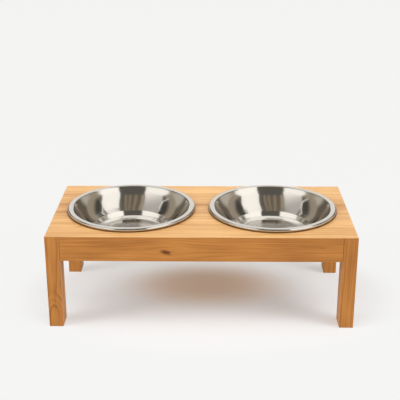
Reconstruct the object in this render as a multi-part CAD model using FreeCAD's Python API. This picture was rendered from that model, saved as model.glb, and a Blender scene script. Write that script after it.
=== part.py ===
import FreeCAD, Part
import math
import os
from collections import namedtuple

# Raised feeder: a pine stand with a mitred top board and two drawn steel bowls that drop
# into round holes. X runs along the stand, its front faces -Y and Z is up. The origin lies
# on the floor under the middle of the stand. Lengths are in millimetres.

# Stand
stand_length = 400.0
stand_depth = 196.0
stand_height = 128.0
board_thickness = 10.0
apron_thickness = 10.0
apron_height = 33.5
leg_width = 18.5
leg_depth = 27.0
arris_radius = 0.8

# Room left round the bowls: from their rims to the stand's faces, and from rim to rim
end_margin = 15.75
front_margin = 15.75
rear_margin = 5.75
bowl_gap = 19.5

# Bowls, from the rim inwards. Heights and depths are taken from the top board's upper face,
# and bends are the radii of the sheet's upper face. The wall bows out to a knee between the
# rim and the ledge, and the bottom falls from the ledge by a step and a sloping ring.
curl_run = 3.2
rim_width = 7.5
rim_height = 4.6
rim_edge_bend_share = 0.48
rim_inner_bend = 2.5
wall_run = 27.5
wall_bow = 4.5
wall_bend = 60.0
ledge_depth = 23.2
ledge_bend = 1.5
step_run = 3.25
step_depth = 29.4
step_bend = 1.2
ring_run = 7.0
base_depth = 32.6
base_bend = 14.0
sheet_thickness = 0.8

# Holes for the bowls
hole_clearance = 1.5
hole_easing = 1.0

# Dowels between the legs and the aprons
dowels_per_joint = 2
dowel_diameter = 5.0
dowel_length = 22.0
dowel_in_leg = 9.0
dowel_chamfer = 0.8
dowel_fit = 0.05
dowel_end_gap = 0.5

# Splines in the mitres between the top board and the aprons
spline_thickness = 2.5
spline_width = 8.0
spline_setback = 18.0
spline_fit = 0.05
spline_place_share = 2 / 3

# Cuts run past the faces that they start from by this much
overrun = 5.0

half_length = stand_length / 2
half_depth = stand_depth / 2

# The rims fill the room along the stand or across it, whichever is the smaller
room_along = (stand_length - 2 * end_margin - bowl_gap) / 2
room_across = stand_depth - front_margin - rear_margin
rim_radius = min(room_along, room_across) / 2
rim_inside = rim_radius - rim_width
ledge_radius = rim_inside - wall_run
step_radius = ledge_radius - step_run
base_radius = step_radius - ring_run
bowl_x = half_length - end_margin - rim_radius
bowl_y = (front_margin - rear_margin) / 2

RIGHT = FreeCAD.Vector(1, 0, 0)
BACK = FreeCAD.Vector(0, 1, 0)
UP = FreeCAD.Vector(0, 0, 1)
ORIGIN = FreeCAD.Vector(0, 0, 0)

bowl_places = {
    "left_bowl": FreeCAD.Vector(-bowl_x, bowl_y, 0),
    "right_bowl": FreeCAD.Vector(bowl_x, bowl_y, 0),
}

# A side of the stand: the way it faces, the way its apron runs, the distance of its face
# from the middle, and half its apron's length
Side = namedtuple("Side", "outward along face half_span")
sides = {
    "front": Side(-BACK, RIGHT, half_depth, half_length - leg_width),
    "rear": Side(BACK, RIGHT, half_depth, half_length - leg_width),
    "left": Side(-RIGHT, BACK, half_length, half_depth - leg_depth),
    "right": Side(RIGHT, BACK, half_length, half_depth - leg_depth),
}


def eased_box(corner, opposite):
    """Box between two opposite corners, with every edge rounded a little."""
    low = FreeCAD.Vector(*map(min, corner, opposite))
    size = FreeCAD.Vector(*map(max, corner, opposite)) - low
    box = Part.makeBox(size.x, size.y, size.z, low)
    return box.makeFillet(arris_radius, box.Edges).Solids[0]


def mitred_block():
    """Block on the top board's underside whose sides slope out at 45 degrees past its edges."""
    lower_x = half_length - board_thickness
    lower_y = half_depth - board_thickness
    upper_x = half_length + overrun
    upper_y = half_depth + overrun
    block = Part.makeWedge(
        -lower_x, stand_height - board_thickness, -lower_y, -upper_y, -upper_x,
        lower_x, stand_height + overrun, lower_y, upper_y, upper_x,
    )
    block.rotate(ORIGIN, RIGHT, 90)
    return block


def cut_solid(shape, tools):
    """The one solid that is left of a shape when tools are cut from it one by one."""
    for tool in tools:
        shape = shape.cut(tool)
    return shape.Solids[0]


def wall_corners():
    """The wall's corners at the rim, knee and ledge, as radius and height above the board."""
    rim = FreeCAD.Vector(rim_inside, 0, rim_height)
    ledge = FreeCAD.Vector(ledge_radius, 0, -ledge_depth)
    outward = BACK.cross(rim - ledge).normalize()
    knee = (rim + ledge) / 2 + outward * wall_bow
    return rim, knee, ledge


def hole_radius():
    """Radius that clears the underside of the bowl's wall where it passes the board's face."""
    rim, knee, _ = wall_corners()
    upper_wall = rim - knee
    inner_face = rim.x - upper_wall.x * rim.z / upper_wall.z
    sheet = sheet_thickness * upper_wall.Length / upper_wall.z
    return inner_face + sheet + hole_clearance


def top_panel():
    """Mitred board with eased edges, two round holes and a groove in each mitre."""
    stand_block = eased_box(
        FreeCAD.Vector(-half_length, -half_depth, 0),
        FreeCAD.Vector(half_length, half_depth, stand_height),
    )
    radius = hole_radius()
    bores = []
    for place in bowl_places.values():
        start = place + UP * (stand_height - board_thickness - overrun)
        bores.append(Part.makeCylinder(radius, board_thickness + 2 * overrun, start, UP))
    panel = cut_solid(mitred_block().common(stand_block), bores)
    hole_edges = [edge for edge in panel.Edges if edge.isClosed()]
    panel = panel.makeFillet(hole_easing, hole_edges)
    return cut_solid(panel, [spline(side, spline_fit) for side in sides.values()])


def apron(side):
    """Rail between two legs: mitred along its upper edge, grooved and bored for dowels."""
    end = side.along * side.half_span
    rail = eased_box(
        side.outward * side.face + end + UP * stand_height,
        side.outward * (side.face - apron_thickness) - end + UP * (stand_height - apron_height),
    )
    bores = dowels(side, dowel_fit, dowel_end_gap)
    return cut_solid(rail, [mitred_block(), spline(side, spline_fit)] + bores)


def leg(x_side, y_side):
    """Straight leg at a corner, its upper end cut to the board's mitres and bored for dowels."""
    post = eased_box(
        FreeCAD.Vector(x_side * half_length, y_side * half_depth, 0),
        FreeCAD.Vector(
            x_side * (half_length - leg_width), y_side * (half_depth - leg_depth), stand_height
        ),
    )
    bores = []
    for side in sides.values():
        bores += dowels(side, dowel_fit, dowel_end_gap)
    return cut_solid(post, [mitred_block()] + bores)


def spline(side, fit=0):
    """Flat strip square across a side's mitre, stopped short of the legs. A fit grows it."""
    inset = board_thickness * spline_place_share
    half_run = side.half_span - spline_setback + fit
    middle = side.outward * (side.face - inset) + UP * (stand_height - inset)
    across = (UP - side.outward).normalize() * (spline_width / 2 + fit)
    down_mitre = (UP + side.outward).normalize() * (spline_thickness / 2 + fit)
    start = middle - side.along * half_run
    corners = [start + across + down_mitre, start + across - down_mitre,
               start - across - down_mitre, start - across + down_mitre]
    section = Part.Face(Part.makePolygon(corners + corners[:1]))
    return section.extrude(side.along * (2 * half_run))


def dowel(joint, into_leg, fit, end_gap):
    """Pin across a joint's face, with chamfered ends. A fit and an end gap make its bore."""
    start = joint - into_leg * (dowel_length - dowel_in_leg + end_gap)
    radius = dowel_diameter / 2 + fit
    pin = Part.makeCylinder(radius, dowel_length + 2 * end_gap, start, into_leg)
    rims = [edge for edge in pin.Edges if edge.isClosed()]
    return pin.makeChamfer(dowel_chamfer, rims).Solids[0]


def dowels(side, fit=0, end_gap=0):
    """Pins at both ends of a side's apron: half its thickness deep, evenly up its inner face."""
    middle = side.outward * (side.face - apron_thickness / 2)
    row_height = (apron_height - board_thickness) / dowels_per_joint
    pins = []
    for into_leg in (-side.along, side.along):
        for row in range(dowels_per_joint):
            height = stand_height - apron_height + row_height * (row + 1 / 2)
            joint = middle + into_leg * side.half_span + UP * height
            pins.append(dowel(joint, into_leg, fit, end_gap))
    return pins


def rounded_corner(before, corner, after, radius):
    """Start, middle and end of the arc that rounds a corner of a path."""
    back = (before - corner).normalize()
    ahead = (after - corner).normalize()
    half_angle = back.getAngle(ahead) / 2
    reach = radius / math.tan(half_angle)
    middle = (back + ahead).normalize() * (radius / math.sin(half_angle) - radius)
    return corner + back * reach, corner + middle, corner + ahead * reach


def rounded_path(corners, radii):
    """Open wire through a row of corners, rounding all but the first and the last."""
    edges = []
    start = corners[0]
    for before, corner, after, radius in zip(corners, corners[1:], corners[2:], radii):
        first, middle, last = rounded_corner(before, corner, after, radius)
        edges.append(Part.LineSegment(start, first).toShape())
        edges.append(Part.Arc(first, middle, last).toShape())
        start = last
    edges.append(Part.LineSegment(start, corners[-1]).toShape())
    return Part.Wire(edges)


def bowl(place):
    """Bowl drawn from one sheet: curled edge, rim, bowed wall, step, ring and flat base."""
    corners = [
        FreeCAD.Vector(rim_radius - curl_run, 0, 0),
        FreeCAD.Vector(rim_radius, 0, 0),
        FreeCAD.Vector(rim_radius, 0, rim_height),
        *wall_corners(),
        FreeCAD.Vector(step_radius, 0, -step_depth),
        FreeCAD.Vector(base_radius, 0, -base_depth),
        FreeCAD.Vector(0, 0, -base_depth),
    ]
    edge_bend = rim_height * rim_edge_bend_share
    radii = [edge_bend, edge_bend, rim_inner_bend, wall_bend, ledge_bend, step_bend, base_bend]
    section = rounded_path(corners, radii).makeOffset2D(sheet_thickness, 0, True, True)
    shape = section.revolve(ORIGIN, UP, 360)
    shape.translate(place + UP * stand_height)
    return shape


def nodes():
    """Every piece of the feeder under its name."""
    pieces = {"top_panel": top_panel()}
    for name, side in sides.items():
        pieces[f"{name}_apron"] = apron(side)
        pieces[f"{name}_spline"] = spline(side)
        pieces[f"{name}_dowels"] = Part.makeCompound(dowels(side))
    for y_name, y_side in (("front", -1), ("rear", 1)):
        for x_name, x_side in (("left", -1), ("right", 1)):
            pieces[f"{y_name}_{x_name}_leg"] = leg(x_side, y_side)
    for name, place in bowl_places.items():
        pieces[name] = bowl(place)
    return pieces


os.makedirs("parts", exist_ok=True)
for node, piece in nodes().items():
    piece.exportStep(f"parts/{node}.step")
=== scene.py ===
import math
from collections import namedtuple

import bpy
import numpy as np
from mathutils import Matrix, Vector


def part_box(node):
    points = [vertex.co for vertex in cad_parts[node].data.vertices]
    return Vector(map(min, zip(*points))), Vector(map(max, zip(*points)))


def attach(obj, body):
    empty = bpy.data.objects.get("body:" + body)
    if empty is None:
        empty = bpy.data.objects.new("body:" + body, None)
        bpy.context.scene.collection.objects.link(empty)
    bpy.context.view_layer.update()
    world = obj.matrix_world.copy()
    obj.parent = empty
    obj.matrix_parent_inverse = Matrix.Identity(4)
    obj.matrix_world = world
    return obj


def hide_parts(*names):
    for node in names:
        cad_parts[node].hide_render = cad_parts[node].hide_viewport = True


# Finishes, bowls and studio for the raised feeder. The frame's axes hold: X along the stand,
# front towards -Y, Z up, metres. Grain is worked out in millimetres from a board's middle.

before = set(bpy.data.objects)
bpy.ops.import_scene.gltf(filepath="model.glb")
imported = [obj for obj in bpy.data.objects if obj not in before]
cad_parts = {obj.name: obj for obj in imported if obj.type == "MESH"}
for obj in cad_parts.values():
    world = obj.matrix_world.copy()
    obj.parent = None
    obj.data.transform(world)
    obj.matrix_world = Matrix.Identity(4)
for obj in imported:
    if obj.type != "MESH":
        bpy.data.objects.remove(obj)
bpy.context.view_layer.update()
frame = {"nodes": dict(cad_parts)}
nodes = frame["nodes"]

MM = 0.001

# Bowl sheet, from the rim inwards, as the part has it
curl_run = 3.2 * MM
rim_width = 7.5 * MM
rim_height = 4.6 * MM
rim_edge_bend_share = 0.48
rim_edge_bend = rim_height * rim_edge_bend_share
rim_inner_bend = 2.5 * MM
wall_run = 27.5 * MM
wall_bow = 4.5 * MM
wall_bend = 60 * MM
ledge_depth = 23.2 * MM
ledge_bend = 1.5 * MM
step_run = 3.25 * MM
step_depth = 29.4 * MM
step_bend = 1.2 * MM
ring_run = 7.0 * MM
base_depth = 32.6 * MM
base_bend = 14.0 * MM
sheet_thickness = 0.8 * MM

# Steps of the bowls' meshes, and the angle in degrees past which their edges stay sharp
turn_steps = 240
arc_steps = 12
run_steps = 8
sharp_angle = 50

# Colours, linear
pine_early = (0.54, 0.222, 0.0445, 1)
pine_late = (0.275, 0.090, 0.014, 1)
# The top board's colours are paler than the rails' partly as paler staves and partly as a painted
# sheen of the light on its top
stave_early_and_sheen = (0.90, 0.54, 0.21, 1)
stave_late_and_sheen = (0.56, 0.235, 0.052, 1)
pine_knot = (0.145, 0.034, 0.002, 1)
# Dark of seams and glue lines, also used for painted shadow lines
seam_and_shadow_dark = (0.13, 0.042, 0.012, 1)
beech_early = (0.60, 0.36, 0.19, 1)
beech_late = (0.46, 0.25, 0.12, 1)
steel_colour = (0.575, 0.548, 0.505, 1)
floor_colour = (0.88, 0.90, 0.935, 1)
floor_painted_bounce = (0.86, 0.72, 0.61, 1)
glow_colour = (0.91, 0.91, 0.90, 1)
ceiling_dark = (0.20, 0.17, 0.135, 1)
ceiling_brown = (0.42, 0.35, 0.26, 1)
wall_brown = (0.48, 0.41, 0.33, 1)
low_dark = (0.19, 0.155, 0.12, 1)
low_light = (0.70, 0.66, 0.58, 1)
back_wall = (1.12, 1.11, 1.09, 1)
screen_white = (1.0, 0.985, 0.96, 1)
screen_grey = (0.43, 0.425, 0.41, 1)
screen_black = (0.15, 0.145, 0.133, 1)
screen_tan = (0.50, 0.42, 0.32, 1)
card_black = (0.08, 0.078, 0.072, 1)

# Growth rings and fibres. A wave is the cycles of noise to a millimetre, along the grain and
# across it. Late wood builds up by a power of the share of a ring, and ends past another share.
slow_wave = (0.007, 0.02)
quick_wave = (0.03, 0.09)
quick_sway_share = 0.3
late_power = 2.2
late_end = 0.86
faintest_ring = 0.45
ring_spread = 0.75
fibre_wave = (0.012, 0.4)
fibre_detail = 4.0

# Oiled faces, and worn edges, which are paler in patches
fibre_roughness = 0.12
late_roughness = 0.05
late_relief = 0.5
grain_depth = 0.12 * MM
grain_strength = 0.35
least_wear = 0.3
wear_spread = 0.7
wear_strength = 0.25

# Rails and legs: what darkens them, and their seams at the ends and along the mitres, where
# the dark line is also a painted shadow under the top's arris. A reach is where a change starts
# and ends.
rail_cloud_wave = (0.012, 0.05)
rail_cloud_shift = 800
rail_fibre_tone = 1.3
rail_cloud_tone = 1.0
rail_least_tone = 0.2
rail_roughness = 0.42
rail_specular = 0.3
rail_wear_reach = (0.2, 1.6)
end_seam_reach = (0.1, 0.9)
mitre_seam_and_shadow_reach = (0.6, 2.4)
mitre_seam_and_shadow_share = 0.35
seam_strength = 0.55

# Knots, with a fainter tail along the grain, and resin pockets
knot_stretch = 2.2
knot_push = 0.9
knot_slant = 0.8
knot_wave = (0.3, 0.5)
knot_reach = (0.1, 1.25)
knot_strength = 1.1
tail_shift = 2
tail_length_share = 2.8
tail_width_share = 0.5
tail_reach = (0.2, 1.0)
tail_strength = 0.35
pocket_reach = (0.2, 1.0)
pocket_strength = 0.45

# Top board: its staves, its streaks, its ends, the painted shadow round the rims and the glue
# lines
top_staves = 6
stave_seed = 3
stave_other_seed = 57
stave_shift = 900
stave_pith_spread = 60
stave_pith_depth = 14
stave_pith_range = 25
stave_lean = (0.02, 0.01)
stave_ring_width = 4.4
stave_sway = 7.0
top_cloud_wave = (0.012, 0.06)
top_ring_tone = 0.55
top_fibre_tone = 0.8
top_cloud_tone = 1.0
top_stave_tone = 0.25
top_least_tone = 0.2
top_roughness = 0.36
top_specular = 0.5
top_wear_reach = (0.3, 2.0)
band_reach = (0.3, 0.65)
band_wave = 0.008
band_least = 0.3
band_spread = 1.4
end_tone = 0.14
end_tone_start = 0.6
rim_shadow_inner_reach = (-8.0, 0.0)
rim_shadow_outer_reach = (0.2, 2.0)
rim_shadow_strength = 0.8
glue_reach = (0.0, 0.5)
glue_strength = 0.3

# Beech
fleck_wave = 0.9
fleck_detail = 3.0
fleck_reach = (0.56, 0.68)
fleck_share = 0.6
beech_cloud_wave = 0.05
beech_cloud_share = 0.4
beech_roughness = 0.55
beech_cloud_roughness = 0.15

# Steel: rings left by the lathe, in cycles to a millimetre, and clouds, in cycles to a metre
lathe_wave = 6.0
lathe_detail = 3.0
lathe_depth = 0.02 * MM
lathe_strength = 0.1
steel_cloud_wave = 30
steel_roughness = 0.09
lathe_roughness = 0.04
steel_cloud_roughness = 0.03
steel_anisotropy = 0.6
steel_anisotropy_turn = 0.25

# An oval on a face: its middle along and across, its length and its width
Mark = namedtuple("Mark", "along across length width")

# A change of a screen's colour into another, where the share to either side times right, plus
# the share to the back times back, goes from start to end
Fade = namedtuple("Fade", "colour right back start end")


class Value:
    """One output of a node. Sums on it add Math nodes to the same tree."""

    def __init__(self, nodes, socket):
        self.nodes = nodes
        self.socket = socket

    def math(self, operation, *terms):
        return self.nodes.add("ShaderNodeMath", dict(enumerate(terms)), operation=operation)

    def __add__(self, other):
        return self.math("ADD", self, other)

    def __radd__(self, other):
        return self.math("ADD", other, self)

    def __sub__(self, other):
        return self.math("SUBTRACT", self, other)

    def __rsub__(self, other):
        return self.math("SUBTRACT", other, self)

    def __mul__(self, other):
        return self.math("MULTIPLY", self, other)

    def __rmul__(self, other):
        return self.math("MULTIPLY", other, self)

    def __truediv__(self, other):
        return self.math("DIVIDE", self, other)

    def __pow__(self, other):
        return self.math("POWER", self, other)

    def __abs__(self):
        return self.math("ABSOLUTE", self)

    def __floor__(self):
        return self.math("FLOOR", self)

    def least(self, other):
        return self.math("MINIMUM", self, other)

    def most(self, other):
        return self.math("MAXIMUM", self, other)


class Nodes:
    """A node tree that is filled by expressions."""

    def __init__(self, tree):
        self.tree = tree
        tree.nodes.clear()

    def add(self, kind, inputs, output=0, **settings):
        """Adds a node, its settings first, then its sockets, and gives one of its outputs."""
        node = self.tree.nodes.new(kind)
        for name, setting in settings.items():
            setattr(node, name, setting)
        for name, value in inputs.items():
            if isinstance(value, Value):
                self.tree.links.new(value.socket, node.inputs[name])
            else:
                node.inputs[name].default_value = value
        return Value(self, node.outputs[output]) if node.outputs else None

    def place(self, kind="Object"):
        """The three coordinates of a kind."""
        point = self.add("ShaderNodeTexCoord", {}, kind)
        return [self.add("ShaderNodeSeparateXYZ", {0: point}, axis) for axis in "XYZ"]

    def noise(self, x, y, z, detail=2.0):
        """Noise from 0 to 1 about a half, one cycle or so to a unit of the coordinates."""
        point = self.add("ShaderNodeCombineXYZ", {0: x, 1: y, 2: z})
        return self.add("ShaderNodeTexNoise", {"Vector": point, "Scale": 1.0, "Detail": detail})

    def streaks(self, wave, along, first, second, detail=2.0):
        """Noise drawn out along the grain by a wave."""
        return self.noise(along * wave[0], first * wave[1], second * wave[1], detail)

    def chance(self, number):
        """A random value from 0 to 1 for each whole number."""
        return self.add("ShaderNodeTexWhiteNoise", {"W": number}, "Value", noise_dimensions="1D")

    def rise(self, value, low, high):
        """A smooth step from 0 at low to 1 at high."""
        sockets = {"Value": value, "From Min": low, "From Max": high}
        return self.add("ShaderNodeMapRange", sockets, interpolation_type="SMOOTHSTEP")

    def fall(self, value, low, high):
        """A smooth step from 1 at low to 0 at high."""
        return 1 - self.rise(value, low, high)

    def blend(self, share, first, second):
        """Two colours mixed by a share of the second."""
        sockets = {"Factor": share, 6: first, 7: second}
        return self.add("ShaderNodeMix", sockets, 2, data_type="RGBA")

    def bump(self, height, distance, strength):
        """A normal tilted by a height."""
        sockets = {"Height": height, "Distance": distance, "Strength": strength}
        return self.add("ShaderNodeBump", sockets)

    def surface(self, **sockets):
        """Closes a material with a Principled shader, whose socket names have _ for a space."""
        named = {name.replace("_", " "): value for name, value in sockets.items()}
        shader = self.add("ShaderNodeBsdfPrincipled", named)
        self.add("ShaderNodeOutputMaterial", {"Surface": shader})


def material(name):
    """A new material and its empty node tree."""
    made = bpy.data.materials.new(name)
    made.use_nodes = True
    return made, Nodes(made.node_tree)


def hypotenuse(run, rise):
    """Length of a step across and up."""
    return (run * run + rise * rise) ** 0.5


def spot(along, across, mark):
    """Distance from the middle of a mark, which is 1 on its edge."""
    run = (along - mark.along) / (mark.length / 2)
    rise = (across - mark.across) / (mark.width / 2)
    return hypotenuse(run, rise)


def board_space(board):
    """A new pine material for a board, with its tree and the board's own measures.

    The measures are the three distances from the board's middle, the three distances inwards
    from its faces, and half its size along each axis.
    """
    low, high = (np.array(corner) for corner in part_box(board))
    middle, half = (low + high) / 2 / MM, (high - low) / 2 / MM
    made, tree = material(board + "_pine")
    local = [value / MM - offset for value, offset in zip(tree.place(), middle)]
    inside = [size - abs(value) for value, size in zip(local, half)]
    return made, tree, local, inside, half


def grain(tree, along, first, second, pith, lean, ring_width, sway):
    """Growth rings round a pith line, as a share of late wood, and the fibres along it.

    The ring number is the distance from the pith line, swayed by slow noise, over the ring
    width. Late wood builds up through each ring and ends sharply. Rings differ in strength.
    """
    slow = tree.streaks(slow_wave, along, first, second)
    quick = tree.streaks(quick_wave, along, first, second)
    run = first - pith[0] - along * lean[0]
    rise = second - pith[1] - along * lean[1]
    swayed = (slow - 0.5) * sway + (quick - 0.5) * (sway * quick_sway_share)
    rings = (hypotenuse(run, rise) + swayed) / ring_width
    number = math.floor(rings)
    within = rings - number
    late = within ** late_power * tree.fall(within, late_end, 1.0)
    late = late * (faintest_ring + ring_spread * tree.chance(number))
    fibre = tree.streaks(fibre_wave, along, first, second, fibre_detail)
    return late, fibre


def worn(tree, colour, edge, reach, cloud, pale):
    """A wood's colour, paler in patches near an edge."""
    wear = tree.fall(edge, *reach) * (least_wear + wear_spread * cloud)
    return tree.blend(wear * wear_strength, colour, pale)


def oiled(tree, colour, late, fibre, roughness, specular):
    """Closes a wood's material: satin, rougher and raised along fibres and late wood."""
    tree.surface(
        Base_Color=colour,
        Roughness=roughness + fibre_roughness * fibre + late_roughness * late,
        Specular_IOR_Level=specular,
        Normal=tree.bump(late * late_relief + fibre, grain_depth, grain_strength),
    )


def pine(board, pith, lean=(0, 0), ring_width=3.6, sway=6.0, tone=0.0, rings=0.6, dip=None,
         knots=(), pockets=()):
    """Finish for a rail or a leg, whose grain runs along its longest side.

    Tone darkens the whole board and picks its clouds, and rings is how strongly its late wood
    shows. A dip (start, end, depth) moves the pith off between two places, which draws arches
    on the face. Knots, which only rails have, and resin pockets are marks; across is upwards on
    a rail and sideways on a leg. Rings flow round a knot as water round a post: the distance
    across from its middle is shortened by reach squared over distance squared.
    """
    made, tree, local, inside, half = board_space(board)
    grain_axis = int(np.argmax(half))
    upright = grain_axis == 2
    up = local[2]
    along = local.pop(grain_axis)
    first, second = local
    across = first if upright else second

    dark = []
    flow = second
    for knot in knots:
        reach = knot.length
        run = (along - knot.along) / knot_stretch
        rise = across - knot.across
        apart = run * run + rise * rise
        flow = flow - rise * (reach * reach * knot_push) / (apart + reach * reach)
        ragged = tree.noise(along * knot_wave[0], across * knot_wave[1], 0.0) - 0.5
        heart = spot(along + rise * knot_slant, across, knot) + ragged
        tail = Mark(
            knot.along + tail_shift, knot.across,
            knot.length * tail_length_share, knot.width * tail_width_share,
        )
        dark.append(tree.fall(heart, *knot_reach) * knot_strength)
        dark.append(tree.fall(spot(along, across, tail), *tail_reach) * tail_strength)
    for pocket in pockets:
        dark.append(tree.fall(spot(along, across, pocket), *pocket_reach) * pocket_strength)

    if dip:
        start, end, depth = dip
        pith = (pith[0], pith[1] + tree.rise(along, start, end) * depth)
    late, fibre = grain(tree, along, first, flow, pith, lean, ring_width, sway)
    cloud = tree.streaks(rail_cloud_wave, along, first + tone * rail_cloud_shift, second)
    shade = late * rings + (fibre - 0.5) * rail_fibre_tone + (cloud - 0.5) * rail_cloud_tone
    shade = shade + (rail_least_tone + tone)
    colour = tree.blend(shade.least(1.0).most(0.0), pine_early, pine_late)
    if dark:
        colour = tree.blend(sum(dark).least(1.0), colour, pine_knot)

    # The middle one of the three distances inwards is the distance from an edge
    nearest = inside[0].least(inside[1]).least(inside[2])
    farthest = inside[0].most(inside[1]).most(inside[2])
    edge = inside[0] + inside[1] + inside[2] - nearest - farthest
    colour = worn(tree, colour, edge, rail_wear_reach, cloud, pine_early)
    seam = tree.fall(inside[grain_axis], *end_seam_reach)
    # A rail's mitre seam along its top edge is also a painted shadow line under the top's arris
    if not upright:
        seam = seam.most(tree.fall(half[2] - up, *mitre_seam_and_shadow_reach) * mitre_seam_and_shadow_share)
    colour = tree.blend(seam * seam_strength, colour, seam_and_shadow_dark)
    oiled(tree, colour, late, fibre, rail_roughness, rail_specular)
    return made


def edge_glued_pine(board, staves, bands, seats):
    """Finish for the top board, glued up from staves along it.

    A stave's number is the distance across the board over the stave width, rounded down. Each
    has its own pith, tone and place along the tree, and a fine glue line parts it from the next.
    Bands (across, width, tone) are darker or paler streaks that come and go along the board,
    which is a little darker towards its ends. Seats are the marks of the bowls' rims, round
    which the board is darkened, most of all along their outer edges, as a painted contact shadow.
    """
    made, tree, local, inside, half = board_space(board)
    along, across, deep = local
    stave_width = 2 * half[1] / staves
    stave = (across + half[1]) / stave_width
    number = math.floor(stave)
    within = (stave - number - 0.5) * stave_width
    pick = tree.chance(number + stave_seed)
    other = tree.chance(number + stave_other_seed)
    far = along + other * stave_shift
    pith = ((pick - 0.5) * stave_pith_spread, -stave_pith_depth - other * stave_pith_range)
    late, fibre = grain(tree, far, within, deep, pith, stave_lean, stave_ring_width, stave_sway)
    cloud = tree.streaks(top_cloud_wave, far, across, deep)
    shade = late * top_ring_tone + (fibre - 0.5) * top_fibre_tone + (cloud - 0.5) * top_cloud_tone
    shade = shade + (pick - 0.5) * top_stave_tone + top_least_tone
    for place, width, tone in bands:
        near = tree.fall(abs(across - place), width * band_reach[0], width * band_reach[1])
        strength = band_least + band_spread * tree.noise(along * band_wave, place, 0.0)
        shade = shade + near * tone * strength
    shade = shade + tree.rise(abs(along), half[0] * end_tone_start, half[0]) * end_tone
    colour = tree.blend(shade.least(1.0).most(0.0), stave_early_and_sheen, stave_late_and_sheen)

    # Painted shadow: the board is darkened in a ring round each rim, standing in for the rim's
    # contact shadow
    for seat in seats:
        beyond = (spot(along, across, seat) - 1) * (seat.length / 2)
        painted_rim_shadow = tree.rise(beyond, *rim_shadow_inner_reach) * tree.fall(beyond, *rim_shadow_outer_reach)
        colour = tree.blend(painted_rim_shadow * rim_shadow_strength, colour, seam_and_shadow_dark)
    glue = tree.fall(stave_width / 2 - abs(within), *glue_reach)
    colour = tree.blend(glue * glue_strength, colour, seam_and_shadow_dark)
    edge = inside[0].least(inside[1])
    colour = worn(tree, colour, edge, top_wear_reach, cloud, stave_early_and_sheen)
    oiled(tree, colour, late, fibre, top_roughness, top_specular)
    return made


def beech():
    """Finish for the hidden splines and dowels: pale, with short dark flecks."""
    made, tree = material("beech")
    place = [value / MM for value in tree.place()]
    flecks = tree.noise(*(value * fleck_wave for value in place), fleck_detail)
    cloud = tree.noise(*(value * beech_cloud_wave for value in place))
    shade = tree.rise(flecks, *fleck_reach) * fleck_share + cloud * beech_cloud_share
    colour = tree.blend(shade.least(1.0), beech_early, beech_late)
    tree.surface(Base_Color=colour, Roughness=beech_roughness + beech_cloud_roughness * cloud)
    return made


def spun_steel(right_bowl):
    """Finish for both bowls: steel polished on a lathe, with fine rings about each bowl's axis.

    The bowls stand mirrored about the middle, so the distance from an axis is taken with the
    absolute value of X.
    """
    made, tree = material("spun_steel")
    low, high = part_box(right_bowl)
    centre = (low + high) / 2
    x, y, z = tree.place()
    radius = hypotenuse((abs(x) - centre.x) / MM, (y - centre.y) / MM)
    lines = tree.noise(radius * lathe_wave, z / MM * lathe_wave, 0.0, lathe_detail)
    cloud = tree.noise(x * steel_cloud_wave, y * steel_cloud_wave, z * steel_cloud_wave)
    tree.surface(
        Base_Color=steel_colour,
        Metallic=1.0,
        Roughness=steel_roughness + lathe_roughness * lines + steel_cloud_roughness * cloud,
        Anisotropic=steel_anisotropy,
        Anisotropic_Rotation=steel_anisotropy_turn,
        Normal=tree.bump(lines, lathe_depth, lathe_strength),
    )
    return made


def rounded_profile(corners, bends):
    """Points and left-hand normals along a path of straight runs with rounded corners.

    At each corner an arc of the bend's radius touches both runs. A run is sampled between its
    arcs more closely towards its ends, by half of one minus the cosine. An arc is sampled
    evenly in angle, and its normals point along its radii.
    """
    points, normals = [], []
    corners = np.array(corners)
    steps = np.diff(corners, axis=0)
    ways = steps / np.linalg.norm(steps, axis=1, keepdims=True)
    lefts = np.stack([-ways[:, 1], ways[:, 0]], axis=1)
    turns = np.arctan2(
        ways[:-1, 0] * ways[1:, 1] - ways[:-1, 1] * ways[1:, 0], (ways[:-1] * ways[1:]).sum(axis=1)
    )
    reaches = np.concatenate([[0], np.array(bends) * np.tan(np.abs(turns) / 2), [0]])
    for i, (way, left) in enumerate(zip(ways, lefts)):
        start = corners[i] + way * reaches[i]
        end = corners[i + 1] - way * reaches[i + 1]
        even = np.linspace(0, math.pi, run_steps, endpoint=i == len(ways) - 1)[:, None]
        share = (1 - np.cos(even)) / 2
        points.append(start + (end - start) * share)
        normals.append(np.repeat(left[None], len(share), axis=0))
        if i < len(turns):
            side = np.sign(turns[i])
            hub = end + left * side * bends[i]
            angle = np.linspace(0, turns[i], arc_steps, endpoint=False)[:, None]
            turned = np.cos(angle) * left + np.sin(angle) * np.array([-left[1], left[0]])
            points.append(hub - turned * side * bends[i])
            normals.append(turned)
    return np.concatenate(points), np.concatenate(normals)


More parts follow.
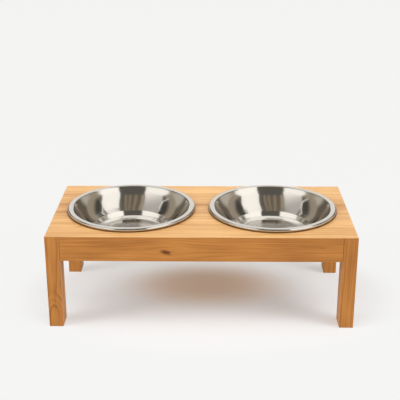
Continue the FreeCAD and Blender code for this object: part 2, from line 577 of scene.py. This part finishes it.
def turned_piece(name, profile, centre):
    """A profile of radius and height carried round an upright axis.

    A point is (radius cos t, radius sin t, height) about the axis, for t round the full turn.
    The profile starts and ends on the axis, where each end is one vertex.
    """
    angle = np.arange(turn_steps) * (2 * math.pi / turn_steps)
    ring = profile[1:-1]
    wide = ring[:, 0, None]
    high = np.repeat(ring[:, 1, None], turn_steps, axis=1)
    body = np.stack([wide * np.cos(angle), wide * np.sin(angle), high], axis=2).reshape(-1, 3)
    ends = np.array([[0, 0, profile[0, 1]], [0, 0, profile[-1, 1]]])
    verts = np.concatenate([body, ends]) + np.array([centre.x, centre.y, 0])
    grid = np.arange(len(body)).reshape(len(ring), turn_steps)
    ahead = np.roll(grid, -1, axis=1)
    quads = np.stack([grid[:-1], ahead[:-1], ahead[1:], grid[1:]], axis=2).reshape(-1, 4)
    first, last = len(body), len(body) + 1
    fan_in = np.stack([ahead[0], grid[0], np.full(turn_steps, first)], axis=1)
    fan_out = np.stack([grid[-1], ahead[-1], np.full(turn_steps, last)], axis=1)
    mesh = bpy.data.meshes.new(name)
    mesh.from_pydata(verts.tolist(), [], quads.tolist() + fan_in.tolist() + fan_out.tolist())
    mesh.shade_smooth()
    mesh.set_sharp_from_angle(angle=math.radians(sharp_angle))
    piece = bpy.data.objects.new(name, mesh)
    bpy.context.scene.collection.objects.link(piece)
    return piece


def bowl_profile(low, high):
    """Section of the sheet of a bowl between two corners of its box.

    It is the upper face from the axis out, then the underside back. The wall's knee stands off
    the middle of the line from ledge to rim. The underside is the upper face moved by the
    sheet's thickness along its normals.
    """
    board = high.z - rim_height
    rim = (high.x - low.x) / 2
    inside = rim - rim_width
    ledge = inside - wall_run
    step = ledge - step_run
    base = step - ring_run
    run, rise = wall_run, rim_height + ledge_depth
    bow = wall_bow / math.hypot(run, rise)
    knee = (ledge + run / 2 + rise * bow, high.z - rise / 2 - run * bow)
    corners = [
        (0, board - base_depth), (base, board - base_depth), (step, board - step_depth),
        (ledge, board - ledge_depth), knee, (inside, high.z), (rim, high.z), (rim, board),
        (rim - curl_run, board),
    ]
    bends = [
        base_bend, step_bend, ledge_bend, wall_bend, rim_inner_bend, rim_edge_bend, rim_edge_bend
    ]
    points, normals = rounded_profile(corners, bends)
    under = points - normals * sheet_thickness
    under[0, 0] = 0
    return np.concatenate([points, under[::-1]])


def screen(name, corners, height, colour, glow=1.0, fade=None):
    """A level screen far overhead, which the camera doesn't see.

    Its corners are given as shares of its height above the floor, to the right and to the back,
    and so is a fade.
    """
    mesh = bpy.data.meshes.new(name)
    verts = [(right * height, back * height, height) for right, back in corners]
    mesh.from_pydata(verts, [], [range(len(corners))])
    made, tree = material(name)
    if fade:
        x, y, _ = tree.place()
        reach = abs(x) * (fade.right / height) + y * (fade.back / height)
        colour = tree.blend(tree.rise(reach, fade.start, fade.end), colour, fade.colour)
    shine = tree.add("ShaderNodeEmission", {"Color": colour, "Strength": glow})
    tree.add("ShaderNodeOutputMaterial", {"Surface": shine})
    mesh.materials.append(made)
    hung = bpy.data.objects.new(name, mesh)
    hung.visible_camera = False
    bpy.context.scene.collection.objects.link(hung)
    return hung


def mirrored(corners):
    """Corners of a screen on the other side."""
    return [(-right, back) for right, back in corners]


def fill_lamp(name, place, size, glow):
    """A square lamp that faces the stand and is kept out of the steel."""
    lamp = bpy.data.lights.new(name, "AREA")
    lamp.size = size
    lamp.energy = glow * math.pi * size ** 2
    hung = bpy.data.objects.new(name, lamp)
    hung.location = place
    hung.rotation_euler = hung.location.to_track_quat("Z", "Y").to_euler()
    hung.visible_glossy = False
    bpy.context.scene.collection.objects.link(hung)


# Bowls
steel = spun_steel("right_bowl")
seats = []
for name in ("left_bowl", "right_bowl"):
    low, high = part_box(name)
    middle = (low + high) / 2
    diameter = (high.x - low.x) / MM
    seats.append(Mark(middle.x / MM, middle.y / MM, diameter, diameter))
    bowl = turned_piece(name + "_spun", bowl_profile(low, high), middle)
    bowl.data.materials.append(steel)
    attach(bowl, name)
    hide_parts(name)

# Wood: each board's cut from the tree, and the streaks of the top board
top_bands = [
    (-86, 2.5, 0.35), (-82, 30, -0.05), (-58, 20, 0.16), (-11, 6, 0.18), (20, 9, 0.38),
    (62, 5, 0.18), (80, 30, -0.2),
]
cuts = {
    "front_apron": dict(
        pith=(8, -58), lean=(0, 0.03), ring_width=2.6, sway=8.0, tone=0.08, rings=0.4,
        knots=[Mark(-45, -3.75, 13.0, 8.5)],
        pockets=[Mark(154, 2.75, 15, 1.6), Mark(112, 2.2, 24, 1.4)],
    ),
    "rear_apron": dict(pith=(-6, 40), lean=(0, -0.02), ring_width=3.4, sway=6.0, tone=0.02),
    "left_apron": dict(pith=(12, -44), lean=(0, 0.03), ring_width=3.6, sway=5.0, tone=0.01),
    "right_apron": dict(pith=(-15, 38), lean=(0, 0.02), ring_width=3.3, sway=5.0, tone=-0.01),
    "front_left_leg": dict(
        pith=(-1.5, -5.5), lean=(0.01, 0), ring_width=2.8, sway=6.5, rings=0.9,
        dip=(-44, -12, 6.5), pockets=[Mark(-34, 2, 5, 3)],
    ),
    "front_right_leg": dict(
        pith=(-64, 12), lean=(0.02, 0), ring_width=3.2, sway=4.0, tone=0.16,
    ),
    # Painted light: this leg's low tone makes it paler, lifting the shade it stands in under the
    # top
    "rear_left_leg": dict(
        pith=(46, -22), lean=(0, 0.03), ring_width=3.4, sway=4.0, tone=-0.22, rings=0.9,
    ),
    "rear_right_leg": dict(
        pith=(-40, -30), lean=(0.03, 0), ring_width=3.2, sway=4.0, tone=-0.08,
    ),
}
finishes = {board: pine(board, **cut) for board, cut in cuts.items()}
finishes["top_panel"] = edge_glued_pine("top_panel", top_staves, top_bands, seats)
finishes["left_bowl"] = finishes["right_bowl"] = steel
hidden_wood = beech()
for name, node in nodes.items():
    node.data.materials.clear()
    node.data.materials.append(finishes.get(name, hidden_wood))

# Floor: a square of paper that can't be seen from below. Its colour is warmed in an oval under
# the stand, a painted bounce of the wood's light. It glows evenly all round, less beside the stand
# and hardly at all under it, in an oval that widens towards the front; near the stand that glow
# is painted light that lifts and shapes the stand's shadow.
floor_half = 12.0
painted_bounce_oval = Mark(0.007, 0.038, 0.31, 0.20)
painted_bounce_reach = (0.25, 0.95)
under_oval = Mark(0.006, -0.01, 0.28, 0.20)
under_reach = (0.6, 1.4)
under_widening = 1.2
widening_start = 0.02
around_oval = Mark(0.012, 0.0, 0.48, 0.31)
around_reach = (0.85, 1.2)
glow_under = 0.03
glow_beside = 0.42
glow_around = 0.5
floor_mesh = bpy.data.meshes.new("floor")
floor_mesh.from_pydata(
    [(-floor_half, -floor_half, 0), (floor_half, -floor_half, 0),
     (floor_half, floor_half, 0), (-floor_half, floor_half, 0)],
    [], [(0, 1, 2, 3)],
)
floor = bpy.data.objects.new("floor", floor_mesh)
bpy.context.scene.collection.objects.link(floor)
paper, tree = material("paper_floor")
x, y, _ = tree.place()
# Painted bounce light: the paper's colour is warmed under the stand, in place of the wood's light
# falling on it
painted_bounce = tree.fall(spot(x, y, painted_bounce_oval), *painted_bounce_reach)
under_length = under_oval.length + (widening_start - y).most(0.0) * under_widening
under = spot(x, y, under_oval._replace(length=under_length))
around = spot(x, y, around_oval)
# Painted light: the glow share is least under the stand and rises beside it, so it lifts and
# shapes the stand's shadow
even = glow_under + glow_beside * tree.rise(under, *under_reach)
even = even + glow_around * tree.rise(around, *around_reach)
lit = tree.add("ShaderNodeBsdfDiffuse", {"Color": tree.blend(painted_bounce, floor_colour, floor_painted_bounce)})
glow = tree.add("ShaderNodeEmission", {"Color": glow_colour})
paper_top = tree.add("ShaderNodeMixShader", {0: even, 1: lit, 2: glow})
below = tree.add("ShaderNodeNewGeometry", {}, "Backfacing")
unseen = tree.add("ShaderNodeBsdfTransparent", {})
one_sided = tree.add("ShaderNodeMixShader", {0: below, 1: paper_top, 2: unseen})
tree.add("ShaderNodeOutputMaterial", {"Surface": one_sided})
floor_mesh.materials.append(paper)

# World: a dark ceiling with brown boards along it, brown walls, which are lighter low down at
# the sides and darker at the far corners, a pale panel straight behind, and a pale skirting
# that meets the floor. Heights are upward shares of a ray's way. The boards (across, width) fan
# out from a point at the back of the ceiling.
ceiling_boards = [(0.19, 0.055), (0.07, 0.055), (-0.09, 0.075)]
fan_width = 0.675
fan_taper = 0.93
fan_least = 0.1
least_height = 0.01
wall_reach = (0.56, 0.62)
low_wall_reach = (0.38, 0.45)
far_corner_reach = (0.50, 0.71)
panel_slope = 2.9
panel_side_reach = (0.0, 0.15)
panel_top_reach = (0.45, 0.75)
panel_foot_reach = (0.03, 0.1)
skirting_reach = (0.06, 0.08)
world = bpy.data.worlds.new("studio")
bpy.context.scene.world = world
world.use_nodes = True
tree = Nodes(world.node_tree)
right, back, up = tree.place("Generated")
height = up.most(least_height)
across = right / height / (fan_width - back / height * fan_taper).most(fan_least)
boards = sum(tree.fall(abs(across - place), 0.0, width) for place, width in ceiling_boards)
room = tree.blend(boards, ceiling_dark, ceiling_brown)
room = tree.blend(tree.fall(up, *wall_reach), room, wall_brown)
far_corner = tree.rise(back / hypotenuse(right, back), *far_corner_reach)
low_wall = tree.blend(far_corner, low_light, low_dark)
room = tree.blend(tree.fall(up, *low_wall_reach), room, low_wall)
panel = tree.rise(back - abs(right) * panel_slope, *panel_side_reach)
panel = panel * tree.fall(up, *panel_top_reach) * tree.rise(up, *panel_foot_reach)
room = tree.blend(panel, room, back_wall)
room = tree.blend(tree.fall(up, *skirting_reach), room, glow_colour)
background = tree.add("ShaderNodeBackground", {"Color": room})
tree.add("ShaderNodeOutputWorld", {"Surface": background})

# Screens that the steel mirrors: two big lit ones to the front left and right, with lower ones
# beyond them, black cards at the sides with lit edges, and strips and a dark card in front. A
# lit screen and a dark card at the back show only in the steel. Each hangs lower than what it
# covers.
screen_height = 20.0
card_height = 19.5
arc_height = 19.0
strip_height = 18.5
right_screen = [(0.235, 0.16), (0.52, -0.89), (1.25, -0.30), (0.49, 0.51)]
left_screen = [(-0.225, 0.16), (-0.30, -0.35), (-0.52, -0.89), (-1.25, -0.30), (-0.49, 0.51)]
left_fade = Fade(screen_grey, 0.0, 1.0, -1.0, 0.2)
low_screen = [(0.52, -0.89), (1.75, -2.8), (3.4, 0.15), (1.25, -0.30)]
card = [
    (0.55, 0.80), (0.63, 0.50), (0.74, 0.30), (0.97, 0.07), (1.45, 0.15), (1.35, 0.80),
    (1.0, 1.40), (0.68, 1.10),
]
card_fade = Fade(wall_brown, 0.81, 0.59, 1.06, 1.42)
card_edge = [
    (0.55, 0.80), (0.63, 0.50), (0.74, 0.30), (0.97, 0.07), (0.94, 0.02), (0.70, 0.27),
    (0.59, 0.48), (0.51, 0.80),
]
card_top = [(0.97, 0.07), (0.94, 0.02), (1.5, 0.10), (1.45, 0.15)]
strip = [(0.15, 0.16), (0.30, -0.63), (0.45, -0.63), (0.235, 0.16)]
gap = [(-0.40, -0.63), (-1.35, -2.8), (1.75, -2.8), (0.44, -0.63)]
arc = [
    (0.0, 0.31), (0.25, 0.31), (0.44, 0.48), (0.54, 0.75), (0.66, 1.10), (0.72, 1.60),
    (0.45, 1.90),
]
whole_arc = arc + mirrored(arc[:0:-1])
arc_fade = Fade(screen_grey, -0.6, 1.0, 0.5, 1.1)
back_strip = [(-0.13, 0.45), (0.14, 0.45), (0.16, 0.70), (-0.15, 0.70)]
screen("right_screen", right_screen, screen_height, screen_white, glow=1.6)
screen("right_low_screen", low_screen, screen_height, screen_white, glow=1.7)
screen("left_screen", left_screen, screen_height, screen_white, glow=1.6, fade=left_fade)
screen("left_low_screen", mirrored(low_screen), screen_height, screen_white, glow=1.6)
screen("right_card", card, card_height, card_black, fade=card_fade)
screen("left_card", mirrored(card), card_height, card_black, fade=card_fade)
screen("right_card_edge", card_edge, card_height, screen_white, glow=1.5)
screen("left_card_edge", mirrored(card_edge), card_height, screen_white, glow=1.3)
screen("left_card_top", mirrored(card_top), card_height, screen_white, glow=1.5)
screen("dark_strip", strip, card_height, screen_black)
screen("tan_strip", mirrored(strip), card_height, screen_tan)
screen("front_card", gap, card_height, screen_black)
back_screen = screen("back_screen", whole_arc, arc_height, screen_white, glow=1.5, fade=arc_fade)
back_card = screen("back_card", back_strip, strip_height, screen_black)
back_screen.visible_diffuse = False
back_card.visible_diffuse = False

# Soft fill from above and from low at both sides
fill_lamp("overhead_fill", place=(0, -1.1, 3.7), size=4.4, glow=0.5)
fill_lamp("left_fill", place=(-2.7, -0.9, 1.4), size=1.4, glow=6.7)
fill_lamp("right_fill", place=(2.6, -1.15, 1.4), size=1.4, glow=5.9)

# Camera, where the photograph was taken from. Angles are in degrees, down and to the left.
sensor_width = 36
lens = 78.82
camera_place = (0.0099, -1.1219, 0.5610)
camera_down = 20.459
camera_left = 0.636
camera = bpy.data.cameras.new("camera")
camera.sensor_width = sensor_width
camera.lens = lens
viewpoint = bpy.data.objects.new("camera", camera)
viewpoint.location = camera_place
viewpoint.rotation_euler = (math.radians(90 - camera_down), 0, math.radians(camera_left))
bpy.context.scene.collection.objects.link(viewpoint)
bpy.context.scene.camera = viewpoint
bpy.context.scene.view_settings.view_transform = "Standard"
